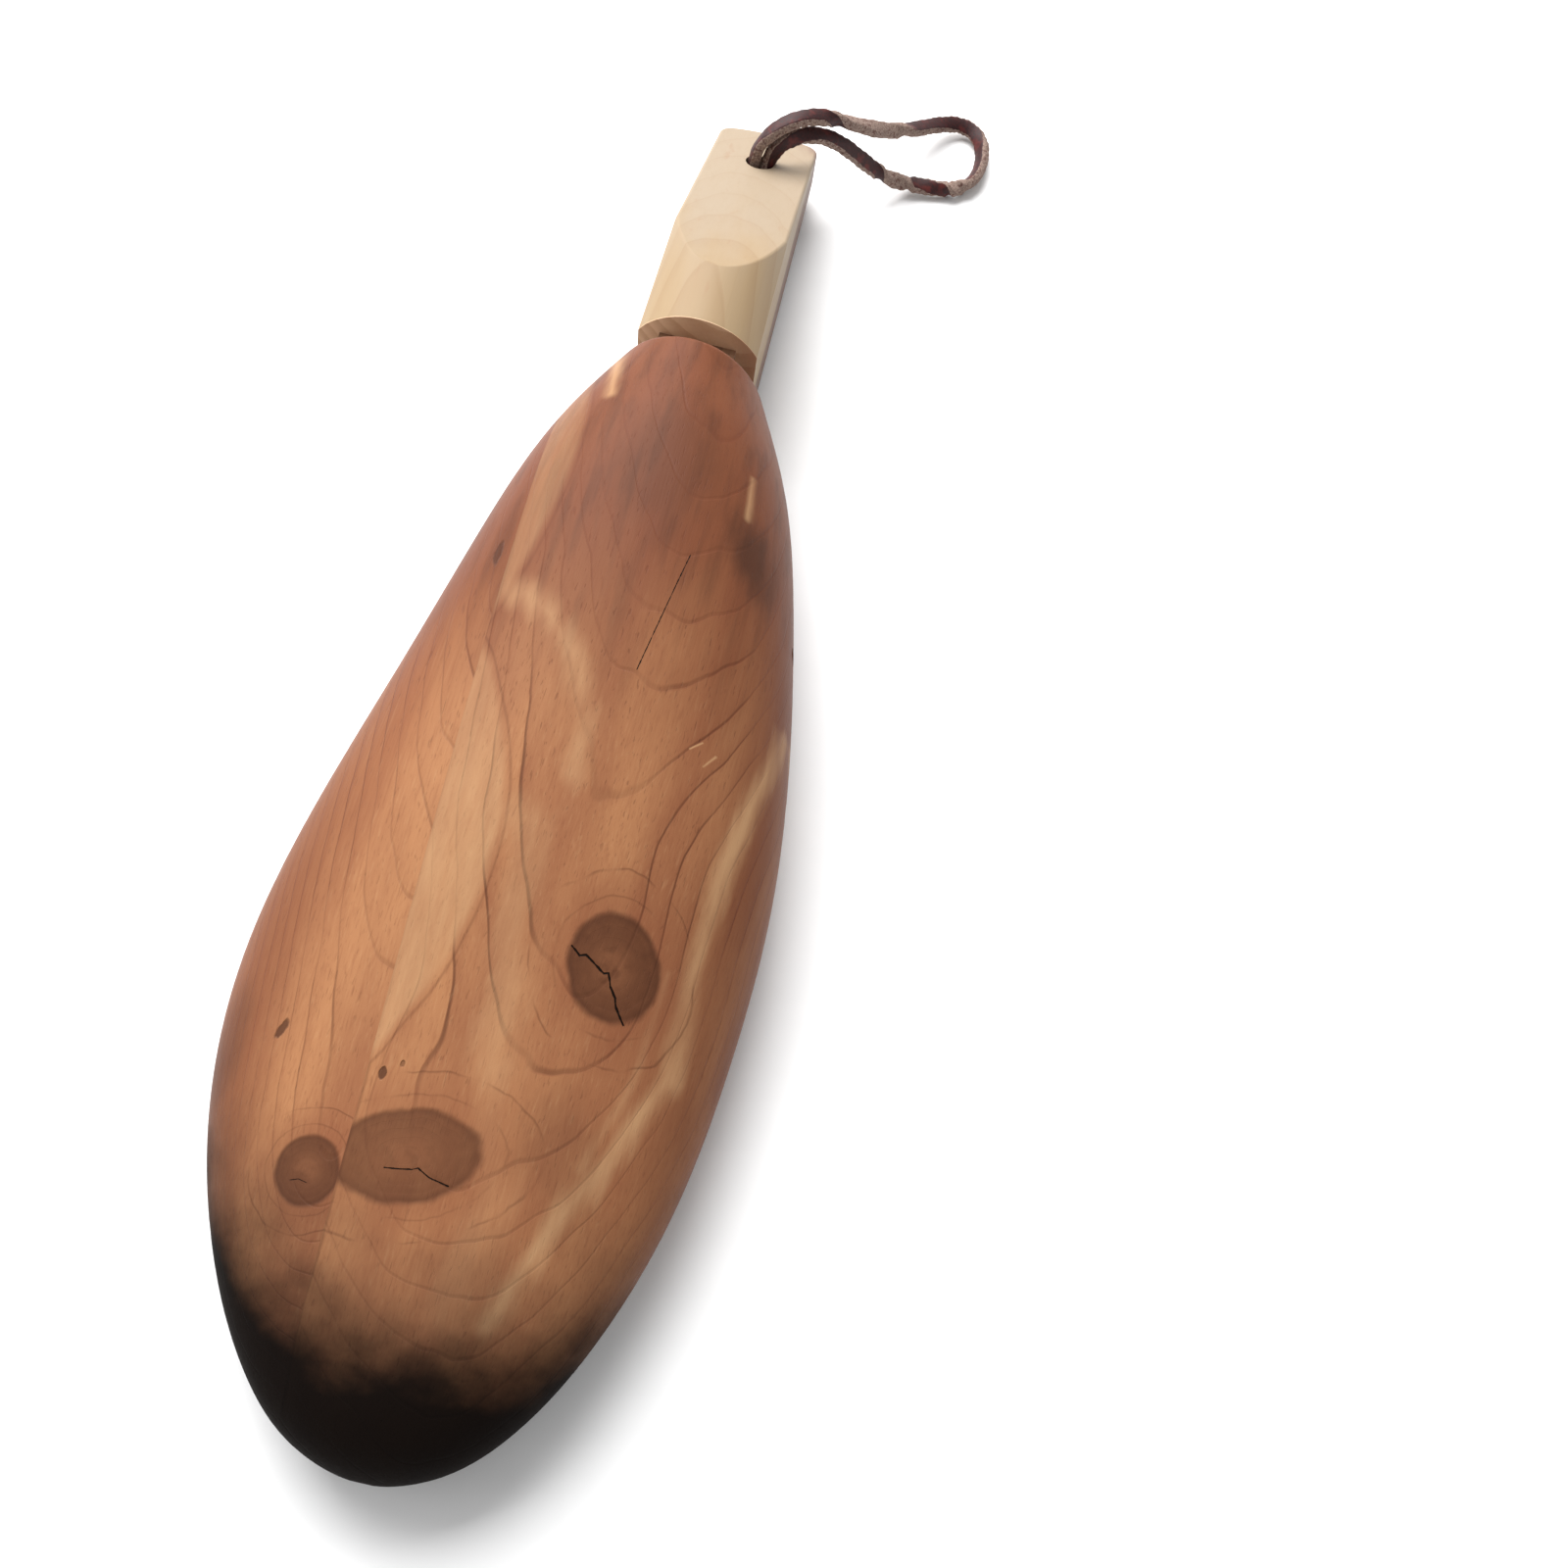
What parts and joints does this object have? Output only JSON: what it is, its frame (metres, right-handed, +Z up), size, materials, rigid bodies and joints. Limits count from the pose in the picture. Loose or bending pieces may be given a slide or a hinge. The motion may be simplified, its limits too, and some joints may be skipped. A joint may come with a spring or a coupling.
{
  "type": "shoe tree",
  "caption": "Wooden shoe tree with a carved foot-shaped forepart, a sprung sliding heel block and a leather pull loop.",
  "frame": {"origin": "on the flat sole, on the long axis, under the cross pin", "axes": "-Y points to the toe and +Y to the heel along the slide, +Z is up from the sole, +X is the side that bulges less at the toe"},
  "size_m": [0.0992, 0.3306, 0.0453],
  "materials": {
    "aromatic_cedar": "satin",
    "pale_wood": "satin",
    "brown_hardwood": "satin",
    "steel": "satin",
    "oxblood_lace": "satin"
  },
  "bodies": {
    "forepart": {"forepart_main_board": "aromatic_cedar", "forepart_side_board": "aromatic_cedar", "cross_pin": "steel", "coil_spring": "steel", "spring_seat": "steel"},
    "heel": {"heel_block": "pale_wood", "slide_tongue": "brown_hardwood", "pull_loop": "oxblood_lace", "loop_knot": "oxblood_lace"}
  },
  "joints": [
    {"name": "heel_slide", "type": "slide", "parent": "forepart", "child": "heel", "axis": [0, 1, 0], "range_m": [-0.0075, 0], "stiffness_N_per_m": 2300, "springref_m": 0.004, "deforming": ["coil_spring"]}
  ]
}
